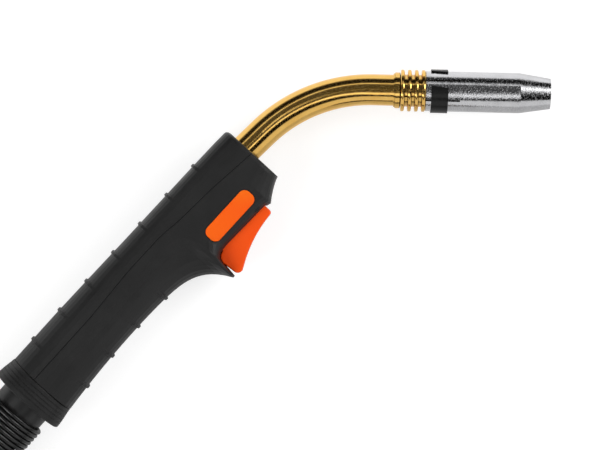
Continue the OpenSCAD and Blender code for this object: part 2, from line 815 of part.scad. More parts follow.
// ---- swept tubes ----------------------------------------------------------
function unit(v) = v / norm(v);
function ring_at(p, d, r, n) = let (f = unit(d), side = unit(cross(f, [0, 0, 1])), up = cross(side, f))
    [for (k = [0:n - 1]) let (a = 90 + 360 * k / n) p + r * (cos(a) * side + sin(a) * up)];
module sweep(path, r, n) {
    last = len(path) - 1;
    rings = [for (i = [0:last])
        ring_at(path[i], path[min(i + 1, last)] - path[max(i - 1, 0)], r, n)];
    points = [for (g = rings) for (p = g) p];
    walls = [for (i = [0:last - 1]) for (j = [0:n - 1]) for (t = [0, 1])
        let (a = i * n + j, b = i * n + (j + 1) % n, c = b + n, d = a + n)
        t == 0 ? [a, b, c] : [a, c, d]];
    fans = concat([for (j = [1:n - 2]) [0, j + 1, j]],
        [for (j = [1:n - 2]) [last * n, last * n + j, last * n + j + 1]]);
    polyhedron(points, concat(walls, fans));
}

// The eased part of the way from 0 to 1.
function eased(u) = ease(min(1, max(0, u)));

// Points along a smooth curve through hand-chosen knots.
function knot(k, i) = k[min(len(k) - 1, max(0, i))];
function through(k, steps) = concat([for (i = [0:len(k) - 2]) for (j = [0:steps - 1])
    let (u = j / steps, a = knot(k, i - 1), b = k[i], c = k[i + 1], d = knot(k, i + 2))
        b + 0.5 * u * (c - a + u * (2 * a - 5 * b + 4 * c - d + u * (3 * (b - c) + d - a)))],
    [k[len(k) - 1]]);

// ---- the cable ------------------------------------------------------------
nipple_x = -67.3;
inner_bend_x0 = -70;
inner_bend_x1 = -136;
inner_d = 15;
inner_route = [for (x = [nipple_x, -70, -76, -82, -88, -94, -100, -106, -112, -118, -124,
    -130, -136, -145, ball_x]) [x, neck_y(-nipple_x) *
    (1 - eased((inner_bend_x0 - x) / (inner_bend_x0 - inner_bend_x1))), 0]];
function run_height(x) = (layer_low - lift)
    * eased((run_drop_x0 - x) / (run_drop_x0 - run_drop_x1));
run_route = [for (x = concat([ball_x, -175, -195, -215, -232],
    [for (k = [0:12]) run_drop_x0 + (run_drop_x1 - run_drop_x0) * k / 12], [coil_x + 17]))
    [x, 0, run_height(x)]];

// The neat pile: a steady spiral in, half a turn's climb where it reverses, a spiral out.
function coil_r(u) = u < coil_turns / 2 ? coil_radius - coil_pitch * u
    : coil_radius - coil_pitch * (coil_turns - u);
function coil_z(u) = layer_low + layer_step * eased(2 * (u - coil_turns / 2) + 0.5);
coil_rings = 24;
coil_route = concat([[coil_x + 17, 0, layer_low - lift]],
    [for (k = [0:coil_turns * coil_rings]) let (u = k / coil_rings, a = 90 + 360 * u)
        [coil_x + coil_r(u) * cos(a), coil_y + coil_r(u) * sin(a), coil_z(u) - lift]],
    [[coil_x + 17, plug_y, layer_high - lift]]);
tail_route = [for (x = [coil_x + 17, -290, -255, -220, plug_x, plug_x + 22])
    [x, plug_y, layer_high - lift]];

// Least clear distance within one wound piece, between points over apart steps from each other.
function least_gap(line, apart, thick) = min([for (i = [0:len(line) - 1 - apart])
    min([for (j = [i + apart:len(line) - 1]) norm(line[i] - line[j])])]) - thick;

// A bend spring: curls round the X axis, ends run flat.
curl_rings = 8;
function curl_route(x0, curls, r, cz) = [for (k = [0:curls * curl_rings])
    let (u = k / curl_rings, a = 360 * u) [x0 - spring_pitch * u, r * sin(a), cz + r * cos(a)]];
module curl_spring(x0, curls, y, cz) {
    r = (spring_outer - spring_wire) / 2;
    n = 6;
    path = curl_route(x0, curls, r, 0);
    last = len(path) - 1;
    rings = [for (i = [0:last]) let (a = 360 * i / curl_rings, out = [0, sin(a), cos(a)])
        [for (k = [0:n - 1]) let (b = 30 + 60 * k)
            path[i] + spring_wire / 2 * (cos(b) * [1, 0, 0] + sin(b) * out)]];
    points = [for (g = rings) for (p = g) p + [0, y, cz]];
    walls = [for (i = [0:last - 1]) for (j = [0:n - 1]) for (t = [0, 1])
        let (a = i * n + j, b = i * n + (j + 1) % n, c = b + n, d = a + n)
        t == 0 ? [a, b, c] : [a, c, d]];
    fans = concat([for (j = [1:n - 2]) [0, j + 1, j]],
        [for (j = [1:n - 2]) [last * n, last * n + j, last * n + j + 1]]);
    polyhedron(points, concat(walls, fans));
}

echo(coil_gap = least_gap(coil_route, 12, cable_diameter));
echo(spring_gap = least_gap(curl_route(0, 4, (spring_outer - spring_wire) / 2, 0), 4, spring_wire));
echo(trigger_spring_gap = least_gap([for (i = [0:24]) [2.6 * cos(45 * i), trigger_spring_rise * i,
    2.6 * sin(45 * i)]], 4, trigger_wire));

module cable_inner() {
    color(rubber) stand()
        sweep(inner_route, inner_d / 2, 12);
}

module cable_run() {
    color(rubber) stand()
        sweep(run_route, cable_r, 12);
}

module cable_coil() {
    color(rubber) stand()
        sweep(coil_route, cable_r, 6);
}

module cable_tail() {
    color(rubber) stand()
        sweep(tail_route, cable_r, 12);
}

// Threaded nipple crimped on the cable's front end, screwed into the neck union.
module cable_nipple() {
    color(brass) stand() on_rear_axis(corner_x + 66.8)
        difference() {
            union() {
                translate([0, 0, 5])
                    cylinder(d = 14, h = corner_x + 66.8 - union_rear - 5.9);
                cylinder(d = 11, h = corner_x + 66.8 - union_rear + 5.5);
            }
            translate([0, 0, -1])
                cylinder(d = 4.6, h = 60);
        }
}

module bend_spring() {
    color(rubber) stand()
        curl_spring(spring_x0 - spring_wire / 2, spring_curls, 0, 0);
}

// Hollow ball with the spigot the bend spring grips.
module swivel_ball() {
    color("#202020") stand() translate([ball_x, 0, 0]) rotate([0, -90, 0])
        difference() {
            union() {
                sphere(r = ball_radius, $fn = 96);
                cylinder(r = 10.2, h = tail_start + 1);
                translate([0, 0, tail_start])
                    cylinder(r = tail_radius, h = grip_start - tail_start);
                translate([0, 0, grip_start - 1])
                    cylinder(r = grip_radius, h = tail_end - grip_start + 1);
            }
            translate([0, 0, -20])
                cylinder(r = cable_r + bore_play, h = 80);
            translate([0, 0, -ball_radius - 1])
                cylinder(r1 = 14.5, r2 = cable_r + bore_play, h = 9);
        }
}

// Two wires from the switch round the neck union to the cable.
module control_wires() {
    color("#2a4f8f") stand() for (side = [-1, 1]) {
        x0 = -switch_s0 - (side > 0 ? 2.3 : 10.1);
        sweep(through([[x0, -5.2, 0.9 * side], [x0, -4.4, 3 * side], [x0 - 1.6, -1.6, 10 * side],
            [-44, 0, 12 * side], [-52, 0, 12 * side], [-60, 0.6, 11 * side],
            [nipple_x + 0.8, 4.2, 4.9 * side]], 3), 0.8, 6);
    }
}

module trigger_spring() {
    r = 2.6;
    n = 6;
    y0 = -19;
    y1 = y0 + trigger_spring_rise * trigger_spring_steps;
    steps = trigger_spring_steps;
    rings = [for (i = [0:steps]) let (a = 360 * i / curl_rings, out = [cos(a), 0, sin(a)])
        [for (k = [0:n - 1]) let (b = 60 * k)
            [-spring_s, y0 + (y1 - y0) * i / steps, 0] + r * out
            + trigger_wire / 2 * (cos(b) * [0, 1, 0] + sin(b) * out)]];
    points = [for (g = rings) for (p = g) p];
    walls = [for (i = [0:steps - 1]) for (j = [0:n - 1]) for (t = [0, 1])
        let (a = i * n + j, b = i * n + (j + 1) % n, c = b + n, d = a + n)
        t == 0 ? [a, b, c] : [a, c, d]];
    fans = concat([for (j = [1:n - 2]) [0, j + 1, j]],
        [for (j = [1:n - 2]) [steps * n, steps * n + j, steps * n + j + 1]]);
    color(steel) stand()
        polyhedron(points, concat(walls, fans));
}

// ---- the central plug -----------------------------------------------------
shell_end = 64;
barrel_r = 19;
block_r = 13;
pin_base = 76;
pin_tip = 97;
nut_start = 66;
nut_end = 98;
nut_lip = 4;
pin_offset = 16;

module plug_spring() {
    color(rubber) stand()
        curl_spring(plug_x - spring_wire / 2, plug_curls, plug_y, layer_high - lift);
}

module plug_spigot() {
    color("#202020") stand() on_plug(-16)
        difference() {
            union() {
                cylinder(r = grip_radius, h = 16);
                translate([0, 0, 16])
                    cylinder(r = 14.3, h = 8);
                translate([0, 0, 19.3])
                    cylinder(r = 17.2, h = 3);
            }
            translate([0, 0, -1])
                cylinder(r = cable_r + bore_play, h = 30);
        }
}

// Half of the plug's handle, with two screw bosses.
module plug_half(side) {
    on_plug(0)
        difference() {
            union() {
                rotate([0, 0, side > 0 ? 90 : -90])
                    rotate_extrude(angle = 180, $fn = 72)
                        polygon([[14.5, 0], [17.4, 0], [18.2, 1], [20.4, 14], [21.8, 48],
                            [21.8, shell_end - 0.6], [21.2, shell_end], [barrel_r + 0.1, shell_end],
                            [barrel_r + 0.1, 48], [17.5, 46], [17.5, 3], [14.5, 3]]);
                for (y = [-1, 1])
                    translate([side > 0 ? -14 : 0, 13.4 * y, 24])
                        rotate([0, 90, 0])
                            cylinder(d = 6.4, h = 14);
            }
            for (y = [-1, 1]) {
                translate([-11.5, 13.4 * y, 24])
                    rotate([0, 90, 0])
                        cylinder(d = side > 0 ? 2.9 : 2.5, h = 21.5);
                if (side > 0)
                    translate([-24, 13.4 * y, 24])
                        rotate([0, 90, 0])
                            cylinder(d = 5.8, h = 13.5);
            }
        }
}

module plug_shell_upper() {
    color(nylon) stand()
        plug_half(1);
}

module plug_shell_lower() {
    color(nylon) stand()
        plug_half(-1);
}

module plug_screws() {
    color(steel) stand() on_plug(24)
        for (y = [-1, 1])
            translate([0, 13.4 * y, 0])
                rotate([0, 90, 0])
                    difference() {
                        union() {
                            translate([0, 0, -12.5])
                                cylinder(d = 5.4, h = 2);
                            translate([0, 0, -10.5])
                                cylinder(d = 2.5, h = 20);
                        }
                        translate([0, 0, -13.5])
                            cylinder(d = 2.3, h = 2.2, $fn = 6);
                    }
}

// Brass block: crimp tube for the cable, power pin with the wire's way through it.
module plug_body() {
    color(brass) stand() on_plug(22.1)
        difference() {
            union() {
                cylinder(r = 7.5, h = 20);
                translate([0, 0, 18])
                    cylinder(r = block_r, h = pin_base - 22.1 - 18);
                translate([0, 0, pin_base - 23])
                    cylinder(d = plug_pin, h = pin_tip - pin_base + 0.9);
            }
            translate([0, 0, -1])
                cylinder(d = 4.8, h = 90);
            translate([0, 0, 66.9])
                tube(plug_pin + 2, plug_pin - 2.4, 1.9);
        }
}

module plug_insulator() {
    color("#202020") stand() on_plug(48.4)
        difference() {
            union() {
                cylinder(r = barrel_r, h = 26);
                translate([0, 0, 22.2])
                    cylinder(r = 21.2, h = 3.8);
            }
            translate([0, 0, -1])
                cylinder(r = block_r + 0.1, h = 30);
            for (y = [-1, 1]) {
                translate([0, pin_offset * y, 16])
                    cylinder(d = control_pin + 0.12, h = 12);
                translate([0, pin_offset * y, 4])
                    cylinder(d = control_pin + 1.4, h = 14);
            }
        }
}

module pin_seal() {
    color("#101010") stand() on_plug(89.95)
        rotate_extrude()
            translate([plug_pin / 2 - 0.6, 0])
                circle(r = 0.55, $fn = 24);
}

module control_pin_at(side) {
    on_plug(59)
        translate([0, pin_offset * side, 0]) {
            translate([0, 0, 4.6])
                cylinder(d = control_pin + 1.28, h = 2);
            translate([0, 0, 6])
                cylinder(d = control_pin, h = 16.5);
            translate([0, 0, 22.5])
                cylinder(d1 = control_pin, d2 = control_pin - 1.2, h = 1);
        }
}

module control_pin_1() {
    color(brass) stand()
        control_pin_at(1);
}

module control_pin_2() {
    color(brass) stand()
        control_pin_at(-1);
}

// Hand nut: turns on the insulator's barrel, held by its flange.
module coupling_nut() {
    flutes = 20;
    r = nut_diameter / 2;
    color(nylon) stand() on_plug(nut_start)
        difference() {
            rotate_extrude($fn = 96)
                polygon([[barrel_r + 0.08, 0], [r - 2, 0], [r, 2], [r, 30.5], [r - 1.5, 32],
                    [22.6, 32], [22, 31.4], [22, nut_lip], [barrel_r + 0.08, nut_lip]]);
            for (k = [0:flutes - 1])
                rotate([0, 0, 360 / flutes * (k + 0.5)])
                    translate([r + 0.8, 0, -1])
                        cylinder(r = 2, h = 29, $fn = 24);
        }
}

module liner_nut() {
    color(brass) stand() on_plug(pin_tip)
        difference() {
            cylinder(d = 9, h = 4, $fn = 6);
            translate([0, 0, -1])
                cylinder(d = 2.2, h = 6);
        }
}

back_shell();
trigger_shell();
locking_collar();
shell_screws();
label_plate();
neck_jacket();
neck_insulation();
neck_core();
neck_union();
finned_sleeve();
nozzle_insulator();
tip_holder();
gas_diffuser();
contact_tip();
wire_liner();
gas_nozzle();
nozzle_clip();
trigger();
trigger_pin();
trigger_spring();
switch_body();
switch_plunger();
switch_terminals();
control_wires();
cable_nipple();
cable_inner();
swivel_ball();
bend_spring();
cable_run();
cable_coil();
cable_tail();
plug_spring();
plug_spigot();
plug_shell_upper();
plug_shell_lower();
plug_screws();
plug_body();
plug_insulator();
pin_seal();
control_pin_1();
control_pin_2();
coupling_nut();
liner_nut();
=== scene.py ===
import json
import math

import bmesh
import bpy
import numpy as np
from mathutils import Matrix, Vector


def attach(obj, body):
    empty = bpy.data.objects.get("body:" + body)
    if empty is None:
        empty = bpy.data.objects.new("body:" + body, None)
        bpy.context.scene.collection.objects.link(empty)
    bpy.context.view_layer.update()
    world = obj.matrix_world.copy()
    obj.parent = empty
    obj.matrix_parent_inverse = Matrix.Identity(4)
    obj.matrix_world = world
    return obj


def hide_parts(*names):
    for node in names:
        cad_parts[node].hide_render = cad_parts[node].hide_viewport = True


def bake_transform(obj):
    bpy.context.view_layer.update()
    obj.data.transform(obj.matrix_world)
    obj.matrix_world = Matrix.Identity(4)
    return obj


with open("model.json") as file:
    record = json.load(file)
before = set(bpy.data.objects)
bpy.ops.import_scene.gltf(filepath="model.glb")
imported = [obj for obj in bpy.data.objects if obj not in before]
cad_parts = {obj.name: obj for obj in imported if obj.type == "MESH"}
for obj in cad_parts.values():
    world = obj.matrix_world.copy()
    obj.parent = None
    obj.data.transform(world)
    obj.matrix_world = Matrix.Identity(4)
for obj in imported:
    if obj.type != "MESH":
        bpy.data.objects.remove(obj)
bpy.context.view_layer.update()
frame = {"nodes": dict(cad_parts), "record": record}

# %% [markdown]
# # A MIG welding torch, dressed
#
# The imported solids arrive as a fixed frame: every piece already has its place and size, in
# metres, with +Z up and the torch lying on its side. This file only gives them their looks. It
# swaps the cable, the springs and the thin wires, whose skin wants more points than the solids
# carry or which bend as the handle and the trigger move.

MM = 0.001
# Sizes below are in the drawing's own millimetres: X = 0 is the handle's front face and the
# swivel's axis is Y = Z = 0. ORIGIN is where the part's origin lies from there.
ORIGIN = Vector((30.01195, 37.98589, 20.55))


def at(x, y, z=0.0):
    """A drawing point in millimetres, as metres in the part's frame."""
    return (Vector((x, y, z)) + ORIGIN) * MM


def placed(name, data):
    """A new object for that data, put in the scene."""
    obj = bpy.data.objects.new(name, data)
    bpy.context.scene.collection.objects.link(obj)
    return obj


# %% [markdown]
# ## The camera
#
# A long lens high over the table keeps the torch's true proportions. The lens is 190 mm on a
# 36 mm sensor, 1.62 m above the plane of the neck, looking straight down and turned so that the
# neck points to the upper right.

# %% Camera
LENS, SENSOR = 190.2, 36
CAMERA_X, CAMERA_Y, CAMERA_HEIGHT = -9.81, -42.34, 1623.0
TURN = math.radians(-47.49)

camera_data = bpy.data.cameras.new("camera")
camera_data.lens = LENS
camera_data.sensor_width = SENSOR
camera = placed("camera", camera_data)
camera.location = at(CAMERA_X, CAMERA_Y, CAMERA_HEIGHT)
camera.rotation_euler = (0, 0, TURN)
bpy.context.scene.camera = camera
print("camera, m:", [round(v, 4) for v in camera.location])

# %% [markdown]
# ## The hose cable
#
# One jacket carries the current, the gas, the wire liner and the control wires for three
# metres. It leaves the swivel through the bend spring, drops to the floor, is wound into a
# neat pile and comes out on top, level with the plug. A curve with a round bevel is the
# simplest true model of it: one line, one thickness. The rule for the line is the solids' own.

# %% Cable sizes
# LIFT is how high the handle's axis lies over the floor. The pile has two layers, and COIL_TURNS
# counts both.
LIFT = 20.55
LAYER_LOW, LAYER_STEP = 8.6, 17.45
COIL_X, COIL_RADIUS, COIL_PITCH, COIL_TURNS = -333.0, 111.25, 17.5, 4.5
PLUG_X, PLUG_Y = -190.0, -2 * COIL_RADIUS
PLUG_Z = LAYER_LOW + LAYER_STEP - LIFT
CABLE_START, CABLE_STEP = -166, -7
DROP_START, DROP_END, DROP_STEPS = -243, -314, 24
LEAD_IN, COIL_STEPS = 10, 48
TAIL_STEP, TAIL_REACH = 15, 22
CABLE = 17.0
print("plug axis over the floor, mm:", round(PLUG_Z + LIFT, 2))

# %% Cable route


def eased(u):
    """Runs smoothly from 0 to 1."""
    u = min(1.0, max(0.0, u))
    return u * u * (3 - 2 * u)


def coil_radius(u):
    """The pile's radius after u turns: inwards in the lower layer, outwards in the upper."""
    return COIL_RADIUS - COIL_PITCH * (u if u < COIL_TURNS / 2 else COIL_TURNS - u)


def coil_height(u):
    """The cable's height after u turns: it steps up a layer halfway."""
    return LAYER_LOW + LAYER_STEP * eased(2 * (u - COIL_TURNS / 2) + 0.5) - LIFT


cable_line = [at(x, 0, 0) for x in range(CABLE_START, DROP_START, CABLE_STEP)]
for step in range(DROP_STEPS + 1):
    x = DROP_START + (DROP_END - DROP_START) * step / DROP_STEPS
    cable_line.append(at(x, 0, (LAYER_LOW - LIFT) * eased(step / DROP_STEPS)))
cable_line.append(at(COIL_X + LEAD_IN, 0, LAYER_LOW - LIFT))
for step in range(int(COIL_TURNS * COIL_STEPS) + 1):
    u = step / COIL_STEPS
    turn = math.radians(90 + 360 * u)
    cable_line.append(at(COIL_X + coil_radius(u) * math.cos(turn),
                         -COIL_RADIUS + coil_radius(u) * math.sin(turn), coil_height(u)))
for x in range(int(COIL_X) + TAIL_STEP, int(PLUG_X) + TAIL_REACH, TAIL_STEP):
    cable_line.append(at(x, PLUG_Y, PLUG_Z))
cable_line.append(at(PLUG_X + TAIL_REACH, PLUG_Y, PLUG_Z))
print("points on the cable's line:", len(cable_line))

# %% The cable as a curve


def tube_along(name, points, thickness, fineness=6):
    """A round wire or hose: a poly curve whose points carry its radius in metres. fineness is
    how finely its round section is cut."""
    data = bpy.data.curves.new(name, "CURVE")
    data.dimensions = "3D"
    data.bevel_depth = 1.0
    data.bevel_resolution = fineness
    data.use_fill_caps = True
    spline = data.splines.new("POLY")
    spline.points.add(len(points) - 1)
    for knot, p in zip(spline.points, points):
        knot.co = (*p, 1)
        knot.radius = thickness / 2 * MM
    spline.use_smooth = True
    return placed(name, data)


def length_of(line):
    """The length of a line of points, in their own unit."""
    return sum((b - a).length for a, b in zip(line, line[1:]))


hose_cable = tube_along("hose_cable", cable_line, CABLE, 10)
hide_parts("cable_run", "cable_coil", "cable_tail")
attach(hose_cable, "cable_side")
print("cable, m:", round(length_of(cable_line), 3))

# %% [markdown]
# ## The bend springs
#
# Where the cable leaves the swivel, and again at the plug, a close-wound steel spring keeps
# it from kinking. The wire is a helix with a small gap between curls, so the curls read as
# separate bright lines.

# %% Bend springs
SPRING_OUTER, WIRE, SPRING_PITCH = 33.0, 2.2, 2.44
SPRING_X, SPRING_CURLS = -178.0, 27
PLUG_SPRING_X, PLUG_CURLS = PLUG_X - 1.1, 23
CURL_STEPS = 32


def spring_line(x0, curls, y, z):
    """A helix that runs towards -X; both cut ends of its wire lie underneath."""
    radius = (SPRING_OUTER - WIRE) / 2
    line = []
    for step in range(curls * CURL_STEPS + 1):
        a = math.radians(180 + 360 * step / CURL_STEPS)
        line.append(at(x0 - SPRING_PITCH * step / CURL_STEPS, y + radius * math.sin(a),
                       z + radius * math.cos(a)))
    return line


torch_spring = tube_along("torch_bend_spring", spring_line(SPRING_X, SPRING_CURLS, 0, 0), WIRE, 4)
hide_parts("bend_spring")
plug_spring = tube_along("plug_bend_spring",
                         spring_line(PLUG_SPRING_X, PLUG_CURLS, PLUG_Y, PLUG_Z), WIRE, 4)
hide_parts("plug_spring")
for spring in (torch_spring, plug_spring):
    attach(spring, "cable_side")
print("bend springs:", SPRING_CURLS, "and", PLUG_CURLS, "curls")

# %% [markdown]

# %% [markdown]
# ## The cable inside the handle
#
# The same cable runs on inside the grip, from the ball of the swivel to the nipple on the neck.
# It is a round mesh tube, closed at both ends.

# %% A tube as a mesh


def tube_mesh(name, points, thickness, sides=24):
    """A round tube of quads along points in metres, closed at both ends."""
    bm = bmesh.new()
    side_way = Vector((0, 0, 1))
    rings = []
    for i, point in enumerate(points):
        ahead = (points[min(i + 1, len(points) - 1)] - points[max(i - 1, 0)]).normalized()
        side_way = (side_way - ahead * side_way.dot(ahead)).normalized()
        up = ahead.cross(side_way)
        ring = []
        for k in range(sides):
            a = 2 * math.pi * k / sides
            out = side_way * math.cos(a) + up * math.sin(a)
            ring.append(bm.verts.new(point + out * thickness / 2 * MM))
        rings.append(ring)
    for low, high in zip(rings, rings[1:]):
        for k in range(sides):
            j = (k + 1) % sides
            bm.faces.new((low[k], low[j], high[j], high[k]))
    bm.faces.new(rings[0][::-1])
    bm.faces.new(rings[-1])
    bm.normal_update()
    data = bpy.data.meshes.new(name)
    bm.to_mesh(data)
    bm.free()
    for face in data.polygons:
        face.use_smooth = len(face.vertices) == 4
    return placed(name, data)


# %% Inner cable
# The neck runs back from its corner with a lean of REAR_TILT, so the nipple at its end lies off
# the ball's axis, and the cable eases back to that axis over SWEEP_LENGTH.
BALL_X, NIPPLE_X, INNER_CABLE, INNER_POINTS = -155.0, -67.3, 15.0, 60
CORNER_X, CORNER_Y, REAR_TILT = 44.93, 1.62, math.radians(3.45)
NIPPLE_Y = CORNER_Y + (CORNER_X - NIPPLE_X) * math.tan(REAR_TILT)
SWEEP_START, SWEEP_LENGTH = -70, 66

inner_line = [at(x, NIPPLE_Y * (1 - eased((SWEEP_START - x) / SWEEP_LENGTH)))
              for x in np.linspace(NIPPLE_X, BALL_X, INNER_POINTS)]
inner_cable = tube_mesh("inner_cable", inner_line, INNER_CABLE)
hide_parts("cable_inner")
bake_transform(inner_cable)
print("inner cable, mm:", round(length_of(inner_line) / MM, 1))

# %% [markdown]
# ## The trigger's return spring
#
# A small helix stands between a shelf in the handle and the trigger.

# %% Return spring
RETURN_X, RETURN_FOOT, RETURN_TOP = -43.0, -10.85, -19.0
RETURN_RADIUS, RETURN_WIRE, RETURN_SIDES = 2.6, 0.7, 10
RETURN_CURLS, STEPS_PER_CURL = 6, 24
RETURN_STEPS = RETURN_CURLS * STEPS_PER_CURL

return_line = []
for step in range(RETURN_STEPS + 1):
    share = step / RETURN_STEPS
    a = 2 * math.pi * RETURN_CURLS * share
    return_line.append(at(RETURN_X + RETURN_RADIUS * math.cos(a),
                          RETURN_TOP + (RETURN_FOOT - RETURN_TOP) * share,
                          RETURN_RADIUS * math.sin(a)))
return_spring = tube_mesh("return_spring", return_line, RETURN_WIRE, RETURN_SIDES)
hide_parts("trigger_spring")
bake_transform(return_spring)
print("return spring wire, mm:", round(length_of(return_line) / MM, 1))

# %% [markdown]
# ## The switch's wires
#
# Two thin insulated wires run from the switch round the neck's union to the cable. They only
# ever move with the handle, so plain curves do.

# %% Switch wires
SWITCH_WIRE, WIRE_STEPS = 1.6, 6
# For each wire: which side of the handle it runs on, and where its terminal stands.
TERMINALS = ((-1, -35.1), (1, -27.3))


def through(knots, steps):
    """Points in metres on a smooth curve that runs through every knot, given in drawing mm."""
    line = []
    last = len(knots) - 1
    for i in range(last):
        before, a, b, after = (Vector(knots[min(max(j, 0), last)]) for j in range(i - 1, i + 3))
        for step in range(steps):
            u = step / steps
            line.append(0.5 * (2 * a + (b - before) * u
                               + (2 * before - 5 * a + 4 * b - after) * u ** 2
                               + (3 * a - before - 3 * b + after) * u ** 3))
    return [at(*p) for p in line + [Vector(knots[-1])]]


switch_wires = []
for side, x in TERMINALS:
    knots = [(x, -5.2, 0.9 * side), (x, -4.4, 3 * side), (x - 1.6, -1.6, 10 * side),
             (-44, 0, 12 * side), (-52, 0, 12 * side), (-60, 0.6, 11 * side),
             (-66.5, 4.2, 4.9 * side)]
    name = "switch_wire_" + ("lower" if side < 0 else "upper")
    wire = tube_along(name, through(knots, WIRE_STEPS), SWITCH_WIRE)
    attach(wire, "handle")
    switch_wires.append(wire)
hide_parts("control_wires")
print("switch wires:", [wire.name for wire in switch_wires])

# %% [markdown]
# ## One way to make a material
#
# Every finish starts from a Principled shader. Colours are written as the sRGB hex values a
# maker would quote and turned to linear light by one function; one more function adds any node
# with its settings and links. Most finishes are then two things: patches, where a colour or a
# gloss drifts, and a relief, the grain or peel of the skin. Both take their size in millimetres.

# %% Colours and nodes


def ink(code, alpha=1.0):
    """An sRGB hex colour as linear red, green, blue and alpha."""
    parts = [int(code[i:i + 2], 16) / 255 for i in (1, 3, 5)]
    return (*[p / 12.92 if p <= 0.04045 else ((p + 0.055) / 1.055) ** 2.4 for p in parts], alpha)


def add(tree, kind, links=None, stops=(), **settings):
    """Adds a node. links maps an input's name or number to a socket or a constant; stops are
    the (position, hex colour or grey number) pairs of a colour ramp."""
    node = tree.nodes.new(kind)
    for key, value in settings.items():
        setattr(node, key, value)
    for key, value in (links or {}).items():
        if isinstance(value, bpy.types.NodeSocket):
            tree.links.new(value, node.inputs[key])
        else:
            node.inputs[key].default_value = value
    if stops:
        elements = node.color_ramp.elements
        while len(elements) < len(stops):
            elements.new(0.5)
        for element, (position, colour) in zip(elements, stops):
            element.position = position
            element.color = ink(colour) if isinstance(colour, str) else (colour, colour, colour, 1)
    return node


print("#808080 in linear light:", round(ink("#808080")[0], 3))

# %% Patches and relief


def start_material(name, constants):
    """A Principled material with its constants on the shader's own sockets."""
    material = bpy.data.materials.new(name)
    material.use_nodes = True
    tree = material.node_tree
    tree.nodes.clear()
    shader = add(tree, "ShaderNodeBsdfPrincipled", constants)
    add(tree, "ShaderNodeOutputMaterial", {"Surface": shader.outputs[0]})
    place = add(tree, "ShaderNodeTexCoord").outputs["Object"]
    return material, tree, shader, place


def patches(tree, place, size_mm, values, levels=(0.3, 0.7), detail=3.0, harshness=0.55):
    """Soft patches about size_mm across: the colour or number in values that the noise has
    where it reaches each of the levels, and a blend in between."""
    field = add(tree, "ShaderNodeTexNoise", {"Vector": place, "Scale": 1 / (size_mm * MM),
                                             "Detail": detail, "Roughness": harshness})
    return add(tree, "ShaderNodeValToRGB", {0: field.outputs[0]},
               stops=list(zip(levels, values))).outputs[0]


def relief(tree, shader, place, size_mm, depth_mm, detail=3.0, harshness=0.55):
    """Raised grain about size_mm across and depth_mm deep, as bump on the shader."""
    field = add(tree, "ShaderNodeTexNoise", {"Vector": place, "Scale": 1 / (size_mm * MM),
                                             "Detail": detail, "Roughness": harshness})
    skin = add(tree, "ShaderNodeBump", {"Height": field.outputs[0], "Distance": depth_mm * MM,
                                        "Strength": 1.0})
    tree.links.new(skin.outputs[0], shader.inputs["Normal"])


# %% [markdown]
# ## Black nylon and orange plastic
#
# The grip is glass-filled nylon from a spark-eroded mould: nearly black, with a fine grain
# that breaks the highlight into a soft grey sheen. The trigger is smoother ABS. The eroded
# grain of a real grip is about a tenth of a millimetre; here it is drawn at a third of a
# millimetre, as coarse as it needs to show. Slow patches of sheen come from handling.

# %% Plastics


def moulded_plastic(name, colours, gloss, grain_mm, depth_mm, flow_mm=30.0, sheen=0.5):
    """Injection-moulded plastic. gloss is the roughness of its shiniest and dullest patches."""
    material, tree, shader, place = start_material(name, {"Specular IOR Level": sheen})
    tree.links.new(patches(tree, place, flow_mm, colours, detail=2.0), shader.inputs["Base Color"])
    tree.links.new(patches(tree, place, flow_mm / 3, gloss, (0.3, 0.75), 4.0),
                   shader.inputs["Roughness"])
    relief(tree, shader, place, grain_mm, depth_mm, 4.0, 0.6)
    return material


black_nylon = moulded_plastic("glass_filled_nylon", ("#1b1b1b", "#212121"), (0.42, 0.55),
                              grain_mm=0.35, depth_mm=0.03, sheen=0.3)
orange_abs = moulded_plastic("moulded_orange_abs", ("#ff5004", "#ff5806"), (0.4, 0.5),
                             grain_mm=0.5, depth_mm=0.008, sheen=0.25)
black_abs = moulded_plastic("moulded_black_abs", ("#181818", "#202020"), (0.35, 0.45),
                            grain_mm=0.4, depth_mm=0.012)
glass_fibre = moulded_plastic("glass_fibre_laminate", ("#d2c6a8", "#e6dcc6"), (0.5, 0.65),
                              grain_mm=0.25, depth_mm=0.02, flow_mm=6.0)
wire_pvc = moulded_plastic("blue_wire_pvc", ("#23468a", "#2f57a4"), (0.4, 0.5),
                           grain_mm=0.3, depth_mm=0.005, flow_mm=8.0)
dark_resin = moulded_plastic("glass_filled_resin", ("#16120e", "#201a15"), (0.5, 0.65),
                             grain_mm=0.3, depth_mm=0.02, flow_mm=8.0, sheen=0.3)
red_pbt = moulded_plastic("red_switch_button", ("#8e2418", "#a83224"), (0.35, 0.45),
                          grain_mm=0.3, depth_mm=0.005, flow_mm=5.0)
print("grip:", black_nylon.name, "- trigger:", orange_abs.name)

# %% [markdown]
# ## The label
#
# The plate let into the grip is a thin printed sheet, a shade yellower than the trigger, under a
# clear satin film. A low coat over the colour gives that film its own soft shine. The plate is
# left bare.

# %% Label film


